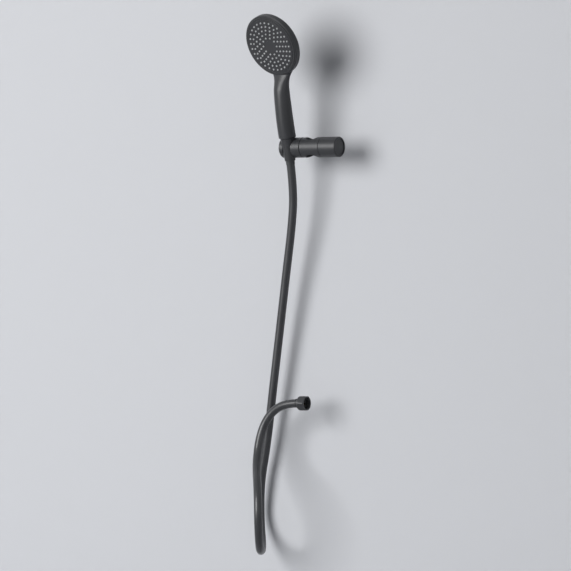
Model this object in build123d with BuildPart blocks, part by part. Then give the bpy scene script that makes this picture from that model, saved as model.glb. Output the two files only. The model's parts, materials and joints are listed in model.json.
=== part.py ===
import os
from math import cos, pi, radians, sin, tan

from build123d import *

os.makedirs("parts", exist_ok=True)

# Hand shower: a handset that rests in a sliding holder, with its hose.
# Millimetres. The origin is where the rail axis (Z) meets the axis of the slider (X).
# The wall is towards +Y and the spray leaves towards -Y.

# clearances and edges
fit_gap = 0.05
run_gap = 0.1
seam_gap = 0.3
fine_edge = 0.5
soft_edge = 1.2

# slider
rail_r = 11.1
rail_wall = 25.0
rail_relief = 1.1
slider_r = 17.0
body_left = -18.0
body_right = 19.5
cup_end = -59.0
knob_end = 53.0

# swivel of the holder cup
boss_r = 7.0
boss_length = 4.5
pivot_r = 2.5
pivot_grip = 4.8
pivot_head_r = 4.3
pivot_head_length = 3.0
pivot_key = 2.3
pivot_key_depth = 1.8
friction_thick = 0.7
friction_inset = 3.0
wave_thick = 1.2
wave_reach = 1.6

# clamp
stud_r = 4.0
stud_length = 29.8
pad_r = 5.5
pad_thick = 3.1
pad_travel = 1.2
insert_r = 6.5
insert_length = 7.0
insert_inset = 2.7
knob_wall = 3.0
knob_hub = 3.0
knob_hollow = 4.0
cap_sink = 1.0
cap_thick = 2.4
knob_lip = 2.8

# conical seat of the handset
tilt = 12.0
cone_x = -43.5
cone_forward = 8.6
nut_top = 18.0
nut_length = 38.5
nut_top_r = 12.25
nut_bottom_r = 8.9
slot_width = 16.0
seat_gap = 0.12

# handset
handset_turn = 9.0
handle_r = 14.5
handle_gap = 0.2
face_forward = 14.0
face_height = 176.0
face_pitch = 13.0
head_r = 54.0
rim_depth = 11.0
back_depth = 22.0
shell_wall = 2.4
rim_wall = 2.8
ring_width = 3.9
ring_lip = 3.2
ring_proud = 1.1
face_proud = 1.6
face_thick = 3.0
mat_thick = 1.5
chamber_depth = 3.0
plate_thick = 1.8
plate_rim = 2.5
gasket_thick = 0.8
gasket_width = 2.6
floor_width = 3.2
cover_r = 9.0
cover_thick = 1.0
face_screw_r = 1.8
face_screw_head_r = 4.0
face_screw_floor = 0.6
post_r = 5.0

# nozzles
nozzle_rows = 5
nozzle_spacing = 9.0
nozzle_margin = 5.2
nozzle_inset = 6.0
nozzle_root_r = 1.45
nozzle_tip_r = 1.15
nozzle_proud = 1.2
nozzle_hole_gap = 0.15
feed_holes = 12
feed_hole_r = 2.6
feed_circle_r = 26.0

# threaded tail in the handle
tail_r = 11.0
tail_grip = 19.8
tail_bore_r = 6.5
handle_bore_r = 8.5
bore_below_head = 24.0
neck_bore_r = 2.6
neck_bore_wall = 1.0
neck_bore_overlap = 4.0
neck_bore_back = 0.5
seal_r = 0.9
seal_below_top = 5.0
regulator_length = 4.0
valve_length = 11.0
valve_wall = 1.2
valve_hole_r = 1.1

# screwed joints of the hose
thread_r = 10.2
thread_length = 10.5
flange_r = 9.6
washer_r = 9.8
washer_thick = 2.0
flange_thick = 2.4
bore_r = 4.5

# hose
hose_r = 7.0
hose_start_t = -20.0
hose_lead_length = 50.0
hose_end_x = -25.0
ferrule_wall = 0.4
ferrule_show = 6.0
ferrule_hold = 10.0
outlet_z = -426.5
union_left = -27.5
union_right = -12.5
union_r = 13.0
union_flat = 11.8
union_thread = 7.0
union_collar = 3.0

# frames of the cup, the handset and its face
lean = radians(tilt)
cup_frame = Plane(origin=(0, 0, 0), x_dir=(1, 0, 0), z_dir=(0, -sin(lean), cos(lean)))
cone_foot = cup_frame.from_local_coords(Vector(cone_x, -cone_forward, 0))
cone_frame = Plane(origin=cone_foot, x_dir=(1, 0, 0), z_dir=cup_frame.z_dir)
cone_section = Plane(origin=cone_foot, x_dir=(1, 0, 0), z_dir=cup_frame.y_dir * -1)
cone_axis = Axis(cone_foot, cone_frame.z_dir)
swing = radians(handset_turn)
handset_x = cone_frame.x_dir * cos(swing) - cone_frame.y_dir * sin(swing)
handset = Plane(origin=cone_foot, x_dir=handset_x, z_dir=cone_frame.z_dir)
pitch = radians(face_pitch)
face_centre = handset.from_local_coords(Vector(0, -face_forward, face_height))
face_out = handset.y_dir * -cos(pitch) - handset.z_dir * sin(pitch)
face_up = handset.z_dir * cos(pitch) - handset.y_dir * sin(pitch)
face = Plane(origin=face_centre, x_dir=handset_x, z_dir=face_out)
face_section = Plane(origin=face_centre, x_dir=handset_x, z_dir=face_up * -1)
face_axis = Axis(face_centre, face_out)
outlet_section = Plane(origin=(0, 0, outlet_z), x_dir=(1, 0, 0), z_dir=(0, 0, 1))
outlet_axis = Axis((0, 0, outlet_z), (1, 0, 0))

# places along the slider
boss_end = body_left - boss_length
cup_face = body_left - friction_thick - fit_gap
cup_web_end = boss_end + fit_gap
head_seat = boss_end - wave_thick
head_end = head_seat - pivot_head_length
wave_r = boss_r + wave_reach
pad_back = rail_r + pad_thick
pad_pocket_end = pad_back + pad_travel
stud_start = pad_back + fit_gap
stud_end = stud_start + stud_length
knob_start = body_right + seam_gap
insert_start = knob_start + insert_inset
insert_end = insert_start + insert_length
cap_floor = knob_end - cap_sink - cap_thick
cap_r = slider_r - knob_lip - fit_gap

# places along the cone, measured from the axis of the slider
nut_bottom = nut_top - nut_length
handle_bottom = nut_top + handle_gap
tail_bottom = nut_top - thread_length
tail_top = handle_bottom + tail_grip
seal_t = tail_top - seal_below_top
washer_low = tail_bottom - washer_thick
flange_low = washer_low - flange_thick
regulator_low = tail_bottom + seam_gap
valve_low = regulator_low + regulator_length + soft_edge
ferrule_r = hose_r + fit_gap + ferrule_wall
ferrule_hole_r = ferrule_r + run_gap
washer_hole_r = washer_r + run_gap

# places in the head, measured out of the face
ring_r = head_r - rim_wall
face_r = ring_r - ring_width
stack_r = face_r - seam_gap
floor_r = face_r - floor_width
face_back = face_proud - face_thick
mat_back = face_back - mat_thick
plate_front = mat_back - chamber_depth
plate_back = plate_front - plate_thick
floor_out = plate_back - gasket_thick
cover_back = face_proud - cover_thick
screw_seat = face_back + face_screw_floor
head_low = face_height - head_r


def nut_radius(t):
    share = (t - nut_bottom) / nut_length
    return nut_bottom_r + share * (nut_top_r - nut_bottom_r)


def dome_point(r, edge_r, edge, back):
    """Place at radius r on a dome that is at edge on the radius edge_r and at back in the middle."""
    rise = edge - back
    sphere_r = (edge_r**2 + rise**2) / (2 * rise)
    return (r, back + sphere_r - (sphere_r**2 - r**2) ** 0.5)


# clamp body with the rail bore, the boss of the swivel and the hole of the clamp screw
with BuildPart() as slider_body:
    with BuildSketch(Plane.XY):
        with BuildLine():
            Polyline(
                (boss_end, 0),
                (boss_end, boss_r),
                (body_left, boss_r),
                (body_left, slider_r - fine_edge),
                (body_left + fine_edge, slider_r),
                (body_right - fine_edge, slider_r),
                (body_right, slider_r - fine_edge),
                (body_right, 0),
                close=True,
            )
        make_face()
    revolve(axis=Axis.X)
    with BuildSketch(Plane.XY):
        Circle(rail_r)
    extrude(amount=slider_r, both=True, mode=Mode.SUBTRACT)
    for side in [1, -1]:
        with BuildSketch(Plane.XY.offset(side * rail_wall / 2)):
            Circle(rail_r + rail_relief)
        extrude(amount=side * slider_r, mode=Mode.SUBTRACT)
    with BuildSketch(Plane.YZ):
        Circle(pad_r + run_gap)
    extrude(amount=pad_pocket_end, mode=Mode.SUBTRACT)
    with BuildSketch(Plane.YZ):
        Circle(stud_r + fit_gap)
    extrude(amount=body_right, mode=Mode.SUBTRACT)
    with BuildSketch(Plane.YZ):
        Circle(pivot_r + fit_gap)
    extrude(amount=boss_end, mode=Mode.SUBTRACT)
slider_body.part.label = "slider_body"
export_step(slider_body.part, "parts/slider_body.step")

# slippery washer between the body and the cup
with BuildPart() as friction_washer:
    with BuildSketch(Plane.YZ.offset(body_left)):
        Circle(slider_r - friction_inset)
        Circle(boss_r + run_gap, mode=Mode.SUBTRACT)
    extrude(amount=-friction_thick)
friction_washer.part.label = "friction_washer"
export_step(friction_washer.part, "parts/friction_washer.step")

# screw in the boss, which holds the cup on
with BuildPart() as pivot_screw:
    with BuildSketch(Plane.XY):
        with BuildLine():
            Polyline(
                (body_left + pivot_grip, 0),
                (body_left + pivot_grip, pivot_r - fine_edge),
                (body_left + pivot_grip - fine_edge, pivot_r),
                (head_seat, pivot_r),
                (head_seat, pivot_head_r),
                (head_end + fine_edge, pivot_head_r),
                (head_end, pivot_head_r - fine_edge),
                (head_end, 0),
                close=True,
            )
        make_face()
    revolve(axis=Axis.X)
    with BuildSketch(Plane.YZ.offset(head_end)):
        RegularPolygon(radius=pivot_key, side_count=6)
    extrude(amount=pivot_key_depth, mode=Mode.SUBTRACT)
pivot_screw.part.label = "pivot_screw"
export_step(pivot_screw.part, "parts/pivot_screw.step")

# spring washer under the head of the screw, which loads the swivel
with BuildPart() as wave_washer:
    with BuildSketch(Plane.YZ.offset(boss_end)):
        Circle(wave_r)
        Circle(pivot_r + fit_gap, mode=Mode.SUBTRACT)
    extrude(amount=-wave_thick)
wave_washer.part.label = "wave_washer"
export_step(wave_washer.part, "parts/wave_washer.step")

# swivelling cup with the conical seat and the slot that lets the hose in
with BuildPart() as holder_cup:
    with BuildSketch(cup_frame):
        with BuildLine():
            Polyline(
                (cup_end, 0),
                (cup_end, slider_r - soft_edge),
                (cup_end + soft_edge, slider_r),
                (cup_face - fine_edge, slider_r),
                (cup_face, slider_r - fine_edge),
                (cup_face, 0),
                close=True,
            )
        make_face()
    revolve(axis=Axis.X)
    with BuildSketch(Plane.YZ.offset(cup_face)):
        Circle(boss_r + fit_gap)
    extrude(amount=boss_end - cup_face, mode=Mode.SUBTRACT)
    with BuildSketch(Plane.YZ.offset(cup_web_end)):
        Circle(wave_r + run_gap)
    extrude(amount=cone_x + slot_width / 2 - cup_web_end, mode=Mode.SUBTRACT)
    with BuildSketch(cone_section):
        with BuildLine():
            Polyline(
                (0, nut_bottom),
                (nut_radius(nut_bottom) + seat_gap, nut_bottom),
                (nut_radius(nut_top) + seat_gap, nut_top),
                (nut_radius(nut_top) + seat_gap, nut_top + slider_r),
                (0, nut_top + slider_r),
                close=True,
            )
        make_face()
    revolve(axis=cone_axis, mode=Mode.SUBTRACT)
    with BuildSketch(cone_frame):
        Rectangle(slot_width, 2 * slider_r, align=(Align.CENTER, Align.MAX))
    extrude(amount=2 * slider_r, both=True, mode=Mode.SUBTRACT)
holder_cup.part.label = "holder_cup"
export_step(holder_cup.part, "parts/holder_cup.step")

# pad that presses on the rail with a hollow face
with BuildPart() as clamp_pad:
    with BuildSketch(Plane.YZ):
        Circle(pad_r)
    extrude(amount=pad_back)
    with BuildSketch(Plane.XY):
        Circle(rail_r + fit_gap)
    extrude(amount=slider_r, both=True, mode=Mode.SUBTRACT)
clamp_pad.part.label = "clamp_pad"
export_step(clamp_pad.part, "parts/clamp_pad.step")

# screw that pushes the pad, held in the knob by a six-sided collar
with BuildPart() as clamp_screw:
    with BuildSketch(Plane.XY):
        with BuildLine():
            Polyline(
                (stud_start, 0),
                (stud_start, stud_r - fine_edge),
                (stud_start + fine_edge, stud_r),
                (stud_end, stud_r),
                (stud_end, 0),
                close=True,
            )
        make_face()
    revolve(axis=Axis.X)
    with BuildSketch(Plane.YZ.offset(insert_start)):
        RegularPolygon(radius=insert_r, side_count=6)
    extrude(amount=insert_length)
clamp_screw.part.label = "clamp_screw"
export_step(clamp_screw.part, "parts/clamp_screw.step")

# turning knob, hollow towards the body, with a sunk end
with BuildPart() as lock_knob:
    with BuildSketch(Plane.XY):
        with BuildLine():
            Polyline(
                (insert_start, 0),
                (insert_start, insert_r + knob_hub),
                (insert_start + knob_hollow, insert_r + knob_hub + fine_edge),
                (insert_start + knob_hollow, slider_r - knob_wall),
                (knob_start, slider_r - knob_wall),
                (knob_start, slider_r - fine_edge),
                (knob_start + fine_edge, slider_r),
                (knob_end - soft_edge, slider_r),
                (knob_end, slider_r - soft_edge),
                (knob_end, slider_r - knob_lip + fine_edge),
                (knob_end - fine_edge, slider_r - knob_lip),
                (cap_floor, slider_r - knob_lip),
                (cap_floor, 0),
                close=True,
            )
        make_face()
    revolve(axis=Axis.X)
    with BuildSketch(Plane.YZ.offset(insert_start)):
        RegularPolygon(radius=insert_r + fit_gap, side_count=6)
    extrude(amount=insert_length, mode=Mode.SUBTRACT)
    with BuildSketch(Plane.YZ.offset(insert_start)):
        Circle(stud_r + fit_gap)
    extrude(amount=stud_end - insert_start, mode=Mode.SUBTRACT)
lock_knob.part.label = "lock_knob"
export_step(lock_knob.part, "parts/lock_knob.step")

# slightly crowned cap in the end of the knob
with BuildPart() as knob_cap:
    with BuildSketch(Plane.XY):
        with BuildLine():
            Polyline(
                (cap_floor, 0),
                (cap_floor, cap_r),
                (cap_floor + cap_thick - soft_edge, cap_r),
                (cap_floor + cap_thick - fine_edge, cap_r - fine_edge),
                (cap_floor + cap_thick, 0),
                close=True,
            )
        make_face()
    revolve(axis=Axis.X)
knob_cap.part.label = "knob_cap"
export_step(knob_cap.part, "parts/knob_cap.step")

# shell of the handset: the grip flattens towards the neck, which spreads into the round head
neck_rise = [-20, -12, -4, 4, 12, 20, 28]
neck_back = [-0.6, 1.3, 3.3, 5.2, 5.75, 4.0, -0.25]
neck_width = [28.0, 28.4, 31.6, 40.0, 54.0, 68.0, 78.0]
neck_depth = [24.4, 21.2, 17.6, 14.4, 13.3, 12.0, 8.5]
neck_low = head_low + neck_rise[0]
grip_step = (neck_low - handle_bottom) / 3
grip_sections = [
    (handle_bottom, 0.0, 2 * handle_r, 2 * handle_r),
    (handle_bottom + grip_step, -1.3, 29.0, 28.6),
    (neck_low - grip_step, -1.4, 28.5, 27.2),
    (neck_low, neck_back[0], neck_width[0], neck_depth[0]),
]
neck_heights = [head_low + rise for rise in neck_rise]
neck_sections = list(zip(neck_heights, neck_back, neck_width, neck_depth))
inner_back = -back_depth + shell_wall
inner_edge = floor_out - fine_edge
bore_narrow = tail_top + 2 * tail_r
bore_end = head_low - bore_below_head
bend_out = floor_out - neck_bore_wall - neck_bore_r
waterway = [
    handset.from_local_coords(Vector(0, neck_bore_back, bore_end - neck_bore_overlap)),
    face.from_local_coords(Vector(0, -face_r, bend_out)),
    face.from_local_coords(Vector(0, -floor_r * 0.6, bend_out)),
]
with BuildPart() as handset_shell:
    for sections in [grip_sections, neck_sections]:
        for height, centre, width, depth in sections:
            with BuildSketch(handset.offset(height)):
                with Locations((0, centre)):
                    Ellipse(width / 2, depth / 2)
        loft()
    with BuildSketch(face_section):
        with BuildLine():
            ThreePointArc(
                (0, -back_depth),
                dome_point(head_r / 2, head_r, -rim_depth, -back_depth),
                dome_point(head_r - soft_edge, head_r, -rim_depth, -back_depth),
            )
            Polyline(
                dome_point(head_r - soft_edge, head_r, -rim_depth, -back_depth),
                (head_r, -rim_depth + soft_edge),
                (head_r, -soft_edge),
                (head_r - soft_edge, 0),
                (0, 0),
                (0, -back_depth),
            )
        make_face()
    revolve(axis=face_axis)
    with BuildSketch(face_section):
        with BuildLine():
            Polyline(
                (0, inner_back),
                (0, head_r),
                (ring_r + run_gap, head_r),
                (ring_r + run_gap, -ring_lip),
                (face_r, -ring_lip),
                (face_r, floor_out),
                (floor_r, floor_out),
                (floor_r, inner_edge),
            )
            ThreePointArc(
                (floor_r, inner_edge),
                dome_point(floor_r / 2, floor_r, inner_edge, inner_back),
                (0, inner_back),
            )
        make_face()
    revolve(axis=face_axis, mode=Mode.SUBTRACT)
    with BuildSketch(cone_section):
        with BuildLine():
            Polyline(
                (0, handle_bottom),
                (tail_r, handle_bottom),
                (tail_r, tail_top + run_gap),
                (handle_bore_r, tail_top + run_gap),
                (handle_bore_r, bore_narrow),
                (2 * neck_bore_r, bore_end),
                (0, bore_end),
                close=True,
            )
        make_face()
    revolve(axis=cone_axis, mode=Mode.SUBTRACT)
    for start, end in zip(waterway, waterway[1:]):
        with BuildSketch(Plane(origin=start, x_dir=handset_x, z_dir=end - start)):
            Circle(neck_bore_r)
        extrude(amount=(end - start).length, mode=Mode.SUBTRACT)
    with BuildSketch(cone_section):
        with BuildLine():
            Polyline(
                (handle_r - soft_edge, handle_bottom),
                (handle_r + soft_edge, handle_bottom),
                (handle_r + soft_edge, handle_bottom + 2 * soft_edge),
                close=True,
            )
        make_face()
    revolve(axis=cone_axis, mode=Mode.SUBTRACT)
handset_shell.part.label = "handset_shell"
export_step(handset_shell.part, "parts/handset_shell.step")

# threaded tail, bonded into the handle
with BuildPart() as inlet_tail:
    with BuildSketch(cone_section):
        with BuildLine():
            Polyline(
                (tail_bore_r, tail_bottom),
                (thread_r - soft_edge, tail_bottom),
                (thread_r - run_gap, tail_bottom + soft_edge),
                (thread_r - run_gap, handle_bottom),
                (tail_r - fit_gap, handle_bottom),
                (tail_r - fit_gap, seal_t - seal_r),
                (tail_r - 2 * seal_r, seal_t - seal_r),
                (tail_r - 2 * seal_r, seal_t + seal_r),
                (tail_r - fit_gap, seal_t + seal_r),
                (tail_r - fit_gap, tail_top),
                (tail_bore_r, tail_top),
                close=True,
            )
        make_face()
    revolve(axis=cone_axis)
inlet_tail.part.label = "inlet_tail"
export_step(inlet_tail.part, "parts/inlet_tail.step")

# seal ring in the groove of the tail
with BuildPart() as tail_o_ring:
    with BuildSketch(cone_section):
        with Locations((tail_r - seal_r, seal_t)):
            Circle(seal_r)
    revolve(axis=cone_axis)
tail_o_ring.part.label = "tail_o_ring"
export_step(tail_o_ring.part, "parts/tail_o_ring.step")

# flow regulator in the mouth of the tail
with BuildPart() as flow_regulator:
    with BuildSketch(cone_section):
        with BuildLine():
            Polyline(
                (tail_bore_r / 3, regulator_low),
                (tail_bore_r, regulator_low),
                (tail_bore_r, regulator_low + regulator_length),
                (tail_bore_r / 2, regulator_low + regulator_length),
                close=True,
            )
        make_face()
    revolve(axis=cone_axis)
flow_regulator.part.label = "flow_regulator"
export_step(flow_regulator.part, "parts/flow_regulator.step")

# non-return valve behind the regulator: a cage with a guide for its poppet
with BuildPart() as check_valve:
    with BuildSketch(cone_section):
        with BuildLine():
            Polyline(
                (0, valve_low),
                (tail_bore_r, valve_low),
                (tail_bore_r, valve_low + valve_length),
                (tail_bore_r - valve_wall, valve_low + valve_length),
                (tail_bore_r - valve_wall, valve_low + valve_wall),
                (2 * valve_wall, valve_low + valve_wall),
                (valve_wall, valve_low + valve_length - valve_wall),
                (0, valve_low + valve_length - valve_wall),
                close=True,
            )
        make_face()
    revolve(axis=cone_axis)
    with BuildSketch(cone_frame.offset(valve_low)):
        with PolarLocations((tail_bore_r + valve_wall) / 2, 6):
            Circle(valve_hole_r)
    extrude(amount=valve_wall, mode=Mode.SUBTRACT)
check_valve.part.label = "check_valve"
export_step(check_valve.part, "parts/check_valve.step")

# gasket under the edge of the spray plate
with BuildPart() as plate_gasket:
    with BuildSketch(face.offset(floor_out)):
        Circle(stack_r)
        Circle(stack_r - gasket_width, mode=Mode.SUBTRACT)
    extrude(amount=gasket_thick)
plate_gasket.part.label = "plate_gasket"
export_step(plate_gasket.part, "parts/plate_gasket.step")

# spray plate that spreads the water behind the nozzles
with BuildPart() as spray_plate:
    with BuildSketch(face_section):
        with BuildLine():
            Polyline(
                (face_screw_r + fit_gap, plate_back),
                (stack_r, plate_back),
                (stack_r, mat_back),
                (stack_r - plate_rim, mat_back),
                (stack_r - plate_rim, plate_front),
                (post_r, plate_front),
                (post_r, mat_back),
                (face_screw_r + fit_gap, mat_back),
                close=True,
            )
        make_face()
    revolve(axis=face_axis)
    with BuildSketch(face.offset(plate_back)):
        with PolarLocations(feed_circle_r, feed_holes):
            Circle(feed_hole_r)
    extrude(amount=plate_thick, mode=Mode.SUBTRACT)
spray_plate.part.label = "spray_plate"
export_step(spray_plate.part, "parts/spray_plate.step")

# soft mat with all the nozzles, clamped behind the face
row_low = cover_r + nozzle_inset
row_step = (face_r - nozzle_margin - row_low) / (nozzle_rows - 1)
row_radii = [row_low + row * row_step for row in range(nozzle_rows)]
nozzle_length = face_proud + nozzle_proud - face_back
with BuildPart() as nozzle_mat:
    with BuildSketch(face.offset(mat_back)):
        Circle(stack_r)
        Circle(face_screw_r + run_gap, mode=Mode.SUBTRACT)
    extrude(amount=mat_thick)
    for row_r in row_radii:
        with Locations(face.offset(face_back)):
            with PolarLocations(row_r, round(2 * pi * row_r / nozzle_spacing)):
                Cone(
                    nozzle_root_r,
                    nozzle_tip_r,
                    nozzle_length,
                    align=(Align.CENTER, Align.CENTER, Align.MIN),
                )
nozzle_mat.part.label = "nozzle_mat"
export_step(nozzle_mat.part, "parts/nozzle_mat.step")

# face with a hole for each nozzle and a sunk middle for the cover
with BuildPart() as spray_face:
    with BuildSketch(face_section):
        with BuildLine():
            Polyline(
                (face_screw_r + run_gap, face_back),
                (face_r - fit_gap, face_back),
                (face_r - fit_gap, face_proud - fine_edge),
                (face_r - fit_gap - fine_edge, face_proud),
                (cover_r + fit_gap, face_proud),
                (cover_r + fit_gap, cover_back),
                (face_screw_head_r + run_gap, cover_back),
                (face_screw_head_r + run_gap, screw_seat),
                (face_screw_r + run_gap, screw_seat),
                close=True,
            )
        make_face()
    revolve(axis=face_axis)
    for row_r in row_radii:
        with BuildSketch(face.offset(face_back)):
            with PolarLocations(row_r, round(2 * pi * row_r / nozzle_spacing)):
                Circle(nozzle_root_r + nozzle_hole_gap)
        extrude(amount=face_thick, mode=Mode.SUBTRACT)
spray_face.part.label = "spray_face"
export_step(spray_face.part, "parts/spray_face.step")

# plain ring round the face
with BuildPart() as face_ring:
    with BuildSketch(face_section):
        with BuildLine():
            Polyline(
                (face_r, -ring_lip),
                (ring_r, -ring_lip),
                (ring_r, ring_proud - fine_edge),
                (ring_r - fine_edge, ring_proud),
                (face_r + fine_edge, ring_proud),
                (face_r, ring_proud - fine_edge),
                close=True,
            )
        make_face()
    revolve(axis=face_axis)
face_ring.part.label = "face_ring"
export_step(face_ring.part, "parts/face_ring.step")

# screw that holds the face and the mat to the post of the spray plate
with BuildPart() as face_screw:
    with BuildSketch(face_section):
        with BuildLine():
            Polyline(
                (0, plate_front),
                (face_screw_r - fine_edge, plate_front),
                (face_screw_r, plate_front + fine_edge),
                (face_screw_r, screw_seat),
                (face_screw_head_r, screw_seat),
                (face_screw_head_r, cover_back - run_gap),
                (0, cover_back - run_gap),
                close=True,
            )
        make_face()
    revolve(axis=face_axis)
face_screw.part.label = "face_screw"
export_step(face_screw.part, "parts/face_screw.step")

# plain cover over the screw, flush with the face
with BuildPart() as centre_cap:
    with BuildSketch(face.offset(cover_back)):
        Circle(cover_r)
    extrude(amount=cover_thick)
centre_cap.part.label = "centre_cap"
export_step(centre_cap.part, "parts/centre_cap.step")

# conical nut, which screws the hose to the tail and rests in the cup
with BuildPart() as conical_nut:
    with BuildSketch(cone_section):
        with BuildLine():
            Polyline(
                (ferrule_hole_r, nut_bottom),
                (nut_bottom_r - fine_edge, nut_bottom),
                (nut_radius(nut_bottom + fine_edge), nut_bottom + fine_edge),
                (nut_radius(nut_top - fine_edge), nut_top - fine_edge),
                (nut_top_r - fine_edge, nut_top),
                (thread_r, nut_top),
                (thread_r, tail_bottom),
                (washer_hole_r, tail_bottom),
                (washer_hole_r, flange_low),
                (ferrule_hole_r, flange_low),
                close=True,
            )
        make_face()
    revolve(axis=cone_axis)
conical_nut.part.label = "conical_nut"
export_step(conical_nut.part, "parts/conical_nut.step")

# sealing washer with its sieve under the mouth of the tail
with BuildPart() as filter_washer:
    with BuildSketch(cone_section):
        with BuildLine():
            Polyline(
                (0, washer_low),
                (washer_r, washer_low),
                (washer_r, tail_bottom),
                (tail_bore_r, tail_bottom),
                (tail_bore_r, washer_low + fine_edge),
                (0, washer_low + fine_edge),
                close=True,
            )
        make_face()
    revolve(axis=cone_axis)
filter_washer.part.label = "filter_washer"
export_step(filter_washer.part, "parts/filter_washer.step")

# flanged insert in the upper end of the hose
with BuildPart() as hose_upper_insert:
    with BuildSketch(cone_section):
        with BuildLine():
            Polyline(
                (bore_r, hose_start_t),
                (hose_r, hose_start_t),
                (hose_r, flange_low),
                (flange_r, flange_low),
                (flange_r, washer_low),
                (bore_r, washer_low),
                close=True,
            )
        make_face()
    revolve(axis=cone_axis)
hose_upper_insert.part.label = "hose_upper_insert"
export_step(hose_upper_insert.part, "parts/hose_upper_insert.step")

# crimped sleeve at the upper end of the hose
with BuildPart() as hose_upper_ferrule:
    with BuildSketch(cone_section):
        with BuildLine():
            Polyline(
                (hose_r + fit_gap, nut_bottom - ferrule_show),
                (ferrule_r, nut_bottom - ferrule_show),
                (ferrule_r, hose_start_t + ferrule_hold),
                (hose_r + fit_gap, hose_start_t + ferrule_hold),
                close=True,
            )
        make_face()
    revolve(axis=cone_axis)
hose_upper_ferrule.part.label = "hose_upper_ferrule"
export_step(hose_upper_ferrule.part, "parts/hose_upper_ferrule.step")

# hose: straight runs joined by tangent arcs, out of the conical nut, down, round and up to the outlet
hose_start = cone_frame.from_local_coords(Vector(0, 0, hose_start_t))
hose_lead = cone_frame.from_local_coords(Vector(0, 0, hose_start_t - hose_lead_length))
route = [
    hose_start,
    hose_lead,
    Vector(-50.5, 12.5, -125.0),
    Vector(-67.5, 20.5, -205.0),
    Vector(-85.5, 27.0, -305.0),
    Vector(-103.5, 32.0, -410.0),
    Vector(-119.0, 38.0, -498.0),
    Vector(-134.5, 41.0, -563.0),
    Vector(-138.0, 46.0, -628.5),
    Vector(-113.5, 17.0, -672.0),
    Vector(-81.0, -39.0, -675.0),
    Vector(-60.0, -74.5, -631.5),
    Vector(-64.0, -70.0, -571.5),
    Vector(-104.0, -16.5, -525.5),
    Vector(-104.5, -2.5, -476.0),
    Vector(-87.5, 0.0, -444.5),
    Vector(-57.0, 0.0, outlet_z),
    Vector(hose_end_x, 0.0, outlet_z),
]
runs = [after - before for before, after in zip(route, route[1:])]
turns = [radians(before.get_angle(after)) for before, after in zip(runs, runs[1:])]
bends = [
    0.45 * min(before.length, after.length) / tan(turn / 2)
    for before, after, turn in zip(runs, runs[1:], turns)
]
saved = [bend * (2 * tan(turn / 2) - turn) for bend, turn in zip(bends, turns)]
hose_length = sum(run.length for run in runs) - sum(saved)
with BuildPart() as hose_tube:
    with BuildLine() as hose_line:
        FilletPolyline(*route, radius=bends)
    with BuildSketch(Plane(origin=hose_start, z_dir=runs[0])):
        Circle(hose_r)
    sweep(path=hose_line.line)
hose_tube.part.label = "hose_tube"
export_step(hose_tube.part, "parts/hose_tube.step")
print("bend radii", [round(bend, 1) for bend in bends])
print("hose length", round(hose_length, 1))
print("volume against section times length", hose_tube.part.volume / (pi * hose_r**2 * hose_length))

# crimped sleeve at the lower end of the hose
with BuildPart() as hose_lower_ferrule:
    with BuildSketch(outlet_section):
        with BuildLine():
            Polyline(
                (union_left - ferrule_show, hose_r + fit_gap),
                (union_left - ferrule_show, ferrule_r),
                (hose_end_x, ferrule_r),
                (hose_end_x, hose_r + fit_gap),
                close=True,
            )
        make_face()
    revolve(axis=outlet_axis)
hose_lower_ferrule.part.label = "hose_lower_ferrule"
export_step(hose_lower_ferrule.part, "parts/hose_lower_ferrule.step")

# flanged insert in the lower end of the hose
mouth_end = union_right - union_thread
flange_right = mouth_end - washer_thick
flange_left = flange_right - flange_thick
with BuildPart() as hose_lower_insert:
    with BuildSketch(outlet_section):
        with BuildLine():
            Polyline(
                (hose_end_x, bore_r),
                (hose_end_x, hose_r),
                (flange_left, hose_r),
                (flange_left, flange_r),
                (flange_right, flange_r),
                (flange_right, bore_r),
                close=True,
            )
        make_face()
    revolve(axis=outlet_axis)
hose_lower_insert.part.label = "hose_lower_insert"
export_step(hose_lower_insert.part, "parts/hose_lower_insert.step")

# flat sealing washer in front of the lower flange
with BuildPart() as union_washer:
    with BuildSketch(outlet_section):
        with BuildLine():
            Polyline(
                (flange_right, bore_r),
                (flange_right, washer_r),
                (mouth_end, washer_r),
                (mouth_end, bore_r),
                close=True,
            )
        make_face()
    revolve(axis=outlet_axis)
union_washer.part.label = "union_washer"
export_step(union_washer.part, "parts/union_washer.step")

# loose union nut at the lower end: a round collar and six flats for a wrench
with BuildPart() as union_nut:
    with BuildSketch(outlet_section):
        with BuildLine():
            Polyline(
                (union_left, ferrule_hole_r),
                (union_left, union_flat - soft_edge),
                (union_left + soft_edge, union_flat),
                (union_left + union_collar, union_flat),
                (union_left + union_collar + soft_edge, union_r),
                (union_right - soft_edge, union_r),
                (union_right, union_r - soft_edge),
                (union_right, thread_r),
                (mouth_end, thread_r),
                (mouth_end, thread_r + seam_gap),
                (flange_left - run_gap, thread_r + seam_gap),
                (flange_left - run_gap, ferrule_hole_r),
                close=True,
            )
        make_face()
    revolve(axis=outlet_axis)
    with BuildSketch(Plane(origin=(union_left, 0, outlet_z), x_dir=(0, 1, 0), z_dir=(1, 0, 0))):
        RegularPolygon(radius=union_flat, side_count=6, major_radius=False)
    extrude(amount=union_right - union_left, mode=Mode.INTERSECT)
union_nut.part.label = "union_nut"
export_step(union_nut.part, "parts/union_nut.step")
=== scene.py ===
"""Finishes for a hand shower: a handset resting in its sliding holder, with the hose."""
import json
import math

import bmesh
import bpy
from mathutils import Matrix, Vector


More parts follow.
